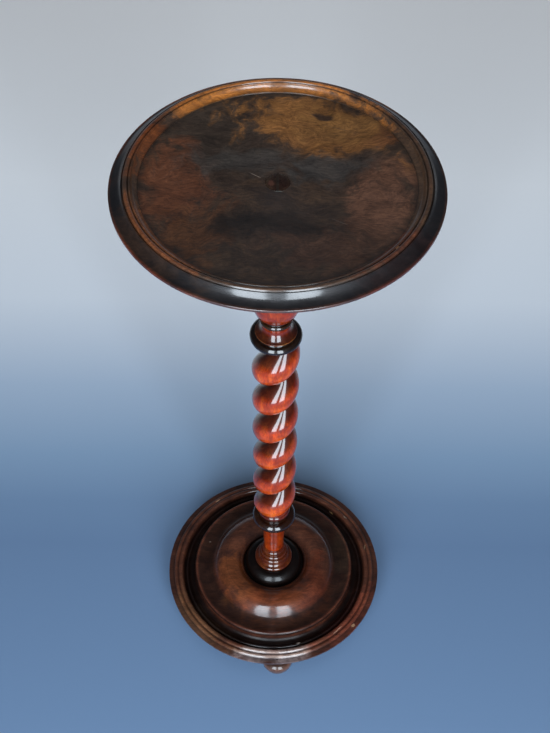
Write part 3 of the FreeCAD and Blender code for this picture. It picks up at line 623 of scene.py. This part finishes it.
baseLook = {
    "grainTurn": -12, "figureScale": (24, 70, 70), "poreScale": (110, 900, 900), "poreDark": 0.70,
    "poreDepth": 0.00003, "fibreScale": (80, 420, 420), "fibre": 0.30, "wanderScale": 16,
    "wander": 0.03, "cloudScale": 36, "ragged": 0.5, "patchEdge": 0.11,
    "figure": [(0.3, (0.024, 0.009, 0.006)), (0.5, (0.046, 0.016, 0.009)),
               (0.72, (0.080, 0.027, 0.013))],
    "clouds": [(0.3, (0.65, 0.63, 0.66)), (0.6, (1.12, 1.12, 1.12))],
    "patches": [
        {"at": (0.002, -0.062), "size": (0.058, 0.028), "colour": (0.085, 0.022, 0.008),
         "amount": 0.9},
        {"at": (-0.054, -0.028), "size": (0.024, 0.046), "colour": (0.075, 0.022, 0.007),
         "amount": 0.9},
        {"at": (0.056, -0.030), "size": (0.024, 0.046), "colour": (0.058, 0.014, 0.006),
         "amount": 0.9},
        {"at": (0.086, 0.030), "size": (0.020, 0.058), "colour": (0.040, 0.020, 0.011),
         "amount": 0.7},
        {"at": (-0.090, -0.090), "size": (0.050, 0.065), "colour": (0.070, 0.032, 0.015),
         "amount": 0.9, "beyond": True, "turn": 40},
        {"at": (0.098, -0.080), "size": (0.040, 0.060), "colour": (0.085, 0.022, 0.012),
         "amount": 0.9, "beyond": True, "turn": -40},
        # partly dusty haze, partly painted highlight: a greyish patch at the front of the outer
        # roll
        {"at": (0.0, -0.132), "size": (0.075, 0.020), "colour": (0.190, 0.145, 0.128),
         "amount": 0.85, "beyond": True, "core": 0.1},
    ],
    # painted shade: darker towards the underside of the base board
    "byHeight": [[(0.0225, 0.35), (0.030, 0.4), (0.0365, (0.6, 0.5, 0.5)), (0.0375, 1.0),
                  (0.0720, 1.0)]],
    # the boss black; painted light and shade on the dome and mouldings: lighter on the dome's
    # crest, the disc arris and the two rolls, darker in the hollow round the dome, the groove and
    # the dip between the rolls; the cove dark
    "byRadius": [[(0.0, 0.05), (0.0370, (0.05, 0.06, 0.08)), (0.0395, (0.16, 0.14, 0.14)),
                  (0.0430, (0.75, 0.65, 0.6)), (0.0500, (1.2, 1.15, 1.1)),
                  (0.0700, (1.2, 1.15, 1.1)), (0.0780, (0.8, 0.7, 0.7)),
                  (0.0815, (0.35, 0.4, 0.45)), (0.0990, (0.4, 0.45, 0.5)),
                  (0.1002, (0.8, 0.7, 0.7)), (0.1018, (1.3, 1.1, 1.0)), (0.1036, (0.3, 0.3, 0.35)),
                  (0.1060, (0.10, 0.12, 0.16)), (0.1120, (0.12, 0.14, 0.18)),
                  (0.1178, (0.15, 0.16, 0.2)), (0.1190, (0.15, 0.16, 0.2)),
                  (0.1206, (1.0, 0.95, 0.95)), (0.1258, (1.2, 1.1, 1.0)),
                  (0.1266, (0.5, 0.45, 0.5)), (0.1272, (0.5, 0.45, 0.5)), (0.1282, (1.2, 1.1, 1.0)),
                  (0.1316, (1.3, 1.2, 1.1)), (0.1326, (0.45, 0.45, 0.5)),
                  (0.1345, (0.65, 0.65, 0.7)), (0.1390, (0.75, 0.7, 0.75))]],
    "rings": 0.3,
    "marks": [
        {"at": (0.1039, -0.0852, 0.043), "size": (0.0045, 0.003, 0.006), "turn": 50,
         "colour": (0.20, 0.11, 0.06), "amount": 0.9, "depth": 0.0006},
        {"at": (0.0836, -0.093, 0.045), "size": (0.0115, 0.0008, 0.006), "turn": 45,
         "colour": (0.20, 0.12, 0.08), "amount": 0.8, "depth": 0.0003},
        {"at": (0.0326, -0.1094, 0.041), "size": (0.004, 0.0018, 0.006), "turn": 15,
         "colour": (0.24, 0.20, 0.17), "amount": 0.8, "depth": 0.0004},
        {"at": (0.0059, -0.1335, 0.043), "size": (0.0022, 0.0016, 0.006), "turn": 0,
         "colour": (0.02, 0.012, 0.01), "amount": 0.9, "depth": 0.0006},
        {"at": (0.0882, 0.0905, 0.046), "size": (0.0032, 0.0012, 0.008), "turn": -45,
         "colour": (0.22, 0.12, 0.06), "amount": 0.9, "depth": 0.0005},
        {"at": (0.0976, 0.0764, 0.046), "size": (0.0045, 0.0010, 0.008), "turn": -40,
         "colour": (0.22, 0.17, 0.12), "amount": 0.9, "depth": 0.0005},
        {"at": (0.0790, 0.0880, 0.043), "size": (0.0060, 0.0012, 0.010), "turn": -42,
         "colour": (0.24, 0.14, 0.06), "amount": 0.9, "depth": 0.0005},
        {"at": (0.1230, 0.0300, 0.045), "size": (0.0008, 0.0060, 0.008), "turn": -14,
         "colour": (0.20, 0.14, 0.08), "amount": 0.8, "depth": 0.0003},
        {"at": (-0.0780, 0.1020, 0.046), "size": (0.0050, 0.0009, 0.008), "turn": 37,
         "colour": (0.22, 0.14, 0.08), "amount": 0.8, "depth": 0.0004},
        {"at": (-0.0772, 0.0733, 0.048), "size": (0.0016, 0.0012, 0.008), "turn": 0,
         "colour": (0.3, 0.24, 0.2), "amount": 0.8, "depth": 0.0003},
        {"at": (-0.0857, 0.0322, 0.054), "size": (0.0020, 0.0010, 0.008), "turn": 0,
         "colour": (0.2, 0.15, 0.12), "amount": 0.7, "depth": 0.0002},
    ],
    "smearScale": 34, "rough": (0.30, 0.48), "specular": 0.15, "coatRough": 0.13,
    "coatByRadius": [(0.0, 0.25), (0.0380, 0.25), (0.0420, 0.90), (0.0740, 0.7), (0.0790, 0.35),
                     (0.0985, 0.35), (0.1000, 0.9), (0.1020, 0.7), (0.1030, 0.05), (0.1145, 0.05),
                     (0.1155, 0.9), (0.1168, 0.8), (0.1176, 0.1), (0.1196, 0.1), (0.1206, 1.0),
                     (0.1390, 1.0)],
    "waveScale": 50, "waveDepth": 0.0002,
}
footLook = dict(baseLook, patches=[], marks=[], byRadius=None, coatByRadius=None, coat=0.7,
                # painted light and shade on the feet: lighter and bluer round the middle as painted
                # sheen, darker at the top under the board
                byHeight=[[(0.0, 0.8), (0.006, (1.9, 2.8, 3.6)), (0.018, (1.8, 2.4, 2.8)),
                           (0.023, 0.5), (0.033, 0.5)]])
wedgeLook = dict(topLook, patches=[], marks=[], byRadius=None, coatByRadius=None, coat=0.3,
                 byHeight=[[(0.0, 0.6), (0.7, 0.4), (0.74, 0.4)]])


def dress(material, *pieces):
    for piece in pieces:
        piece.data.materials.clear()
        piece.data.materials.append(material)


dress(polishedWood("topMahogany", topLook), topTurned)
dress(polishedWood("columnMahogany", columnLook), columnLower, columnUpper)
dress(polishedWood("twistMahogany", twistLook), twistStrand)
dress(polishedWood("baseMahogany", baseLook), baseTurned)
dress(polishedWood("footMahogany", footLook), *feet)
dress(polishedWood("wedgeMahogany", wedgeLook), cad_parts["top_wedge"],
      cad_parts["base_wedge"])
print("wood polished")


studio = {
    "floorSize": 12, "floorRough": 0.95, "floorSpecular": 0.1,
    # painted light fall-off: the floor is darker and bluer in front of the stand, paler further
    # back
    "floorTones": [(-0.35, (0.100, 0.158, 0.250)), (0.06, (0.098, 0.155, 0.250)),
                   (0.13, (0.118, 0.183, 0.282)), (0.21, (0.175, 0.255, 0.360)),
                   (0.34, (0.31, 0.385, 0.485)), (0.52, (0.60, 0.64, 0.69)),
                   (0.80, (0.80, 0.82, 0.84)), (1.40, (0.95, 0.94, 0.93))],
    "roomDim": (0.055, 0.062, 0.075), "roomPale": (0.45, 0.50, 0.58),
    "paleAside": (0.35, 0.6), "paleUp": (0.15, 0.38), "paleBehind": (0.3, 0.6),
    "paneWidth": 0.54, "paneLow": 0.0, "paneHigh": 1.95, "paneApart": 0.84, "paneDistance": 1.35,
    "panePower": 48, "paneColour": (0.80, 0.90, 1.0), "paneTurn": (math.radians(90), 0, 0),
    "softSize": 3.0, "softHeight": 3.2, "softForward": 0.5, "softPower": 40,
    "softColour": (0.97, 0.98, 1.0), "softTurn": (0, 0, 0),
}


def layFloor():
    bpy.ops.object.select_all(action="DESELECT")
    bpy.ops.mesh.primitive_plane_add(size=studio["floorSize"])
    floor = bpy.context.object
    floor.name = "floor"
    cloth = bpy.data.materials.new("paleFloor")
    cloth.use_nodes = True
    tree = cloth.node_tree
    place = addNode(tree, "TexCoord").outputs["Object"]
    depth = addNode(tree, "SeparateXYZ", {0: place}).outputs["Y"]
    shader = tree.nodes["Principled BSDF"]
    tree.links.new(toneAlong(tree, depth, studio["floorTones"]), shader.inputs["Base Color"])
    shader.inputs["Roughness"].default_value = studio["floorRough"]
    shader.inputs["Specular IOR Level"].default_value = studio["floorSpecular"]
    floor.data.materials.append(cloth)


def hangLight(name, width, length, power, colour, place, turn):
    light = bpy.data.lights.new(name, "AREA")
    light.shape = "RECTANGLE"
    light.size = width
    light.size_y = length
    light.energy = power
    light.color = colour
    lamp = bpy.data.objects.new(name, light)
    bpy.context.scene.collection.objects.link(lamp)
    lamp.location = place
    lamp.rotation_euler = turn
    lamp.visible_camera = False
    return lamp


def lightRoom():
    # a dim room, pale only low down behind the stand, with two tall panes in front
    # and a soft light overhead
    world = bpy.data.worlds.new("room")
    bpy.context.scene.world = world
    world.use_nodes = True
    tree = world.node_tree
    way = addNode(tree, "SeparateXYZ", {0: addNode(tree, "TexCoord").outputs["Generated"]}).outputs
    aside = spread(tree, mathNode(tree, "ABSOLUTE", way["X"]), *studio["paleAside"], 1.0, 0.0)
    pale = mathNode(tree, "MULTIPLY", aside, spread(tree, way["Z"], *studio["paleUp"], 1.0, 0.0))
    pale = mathNode(tree, "MULTIPLY", pale, spread(tree, way["Y"], *studio["paleBehind"], 0.0, 1.0))
    tree.links.new(mixColours(tree, "MIX", pale, studio["roomDim"], studio["roomPale"]),
                   tree.nodes["Background"].inputs["Color"])
    height = studio["paneHigh"] - studio["paneLow"]
    middle = (studio["paneHigh"] + studio["paneLow"]) / 2
    for side, name in ((-1, "paneLeft"), (1, "paneRight")):
        place = (side * studio["paneApart"] / 2, -studio["paneDistance"], middle)
        hangLight(name, studio["paneWidth"], height, studio["panePower"], studio["paneColour"],
                  place, studio["paneTurn"])
    above = (0, -studio["softForward"], studio["softHeight"])
    overhead = hangLight("overhead", studio["softSize"], studio["softSize"], studio["softPower"],
                         studio["softColour"], above, studio["softTurn"])
    overhead.visible_glossy = False


view = {
    "location": (-0.7, -818.6, 1481), "down": 51.03, "roll": 0.6,
    "focal": 1220.7, "pictureHeight": 733, "sensor": 36,  # focal and height in pixels
}


def setCamera():
    data = bpy.data.cameras.new("camera")
    data.sensor_width = view["sensor"]
    data.lens = view["sensor"] * view["focal"] / view["pictureHeight"]
    camera = bpy.data.objects.new("camera", data)
    bpy.context.scene.collection.objects.link(camera)
    camera.matrix_world = (Matrix.Translation(Vector(view["location"]) * mm)
                           @ Matrix.Rotation(math.radians(90 - view["down"]), 4, "X")
                           @ Matrix.Rotation(math.radians(view["roll"]), 4, "Z"))
    bpy.context.scene.camera = camera
    bpy.context.scene.view_settings.view_transform = "Standard"


layFloor()
lightRoom()
setCamera()
print("floor, light and camera set")
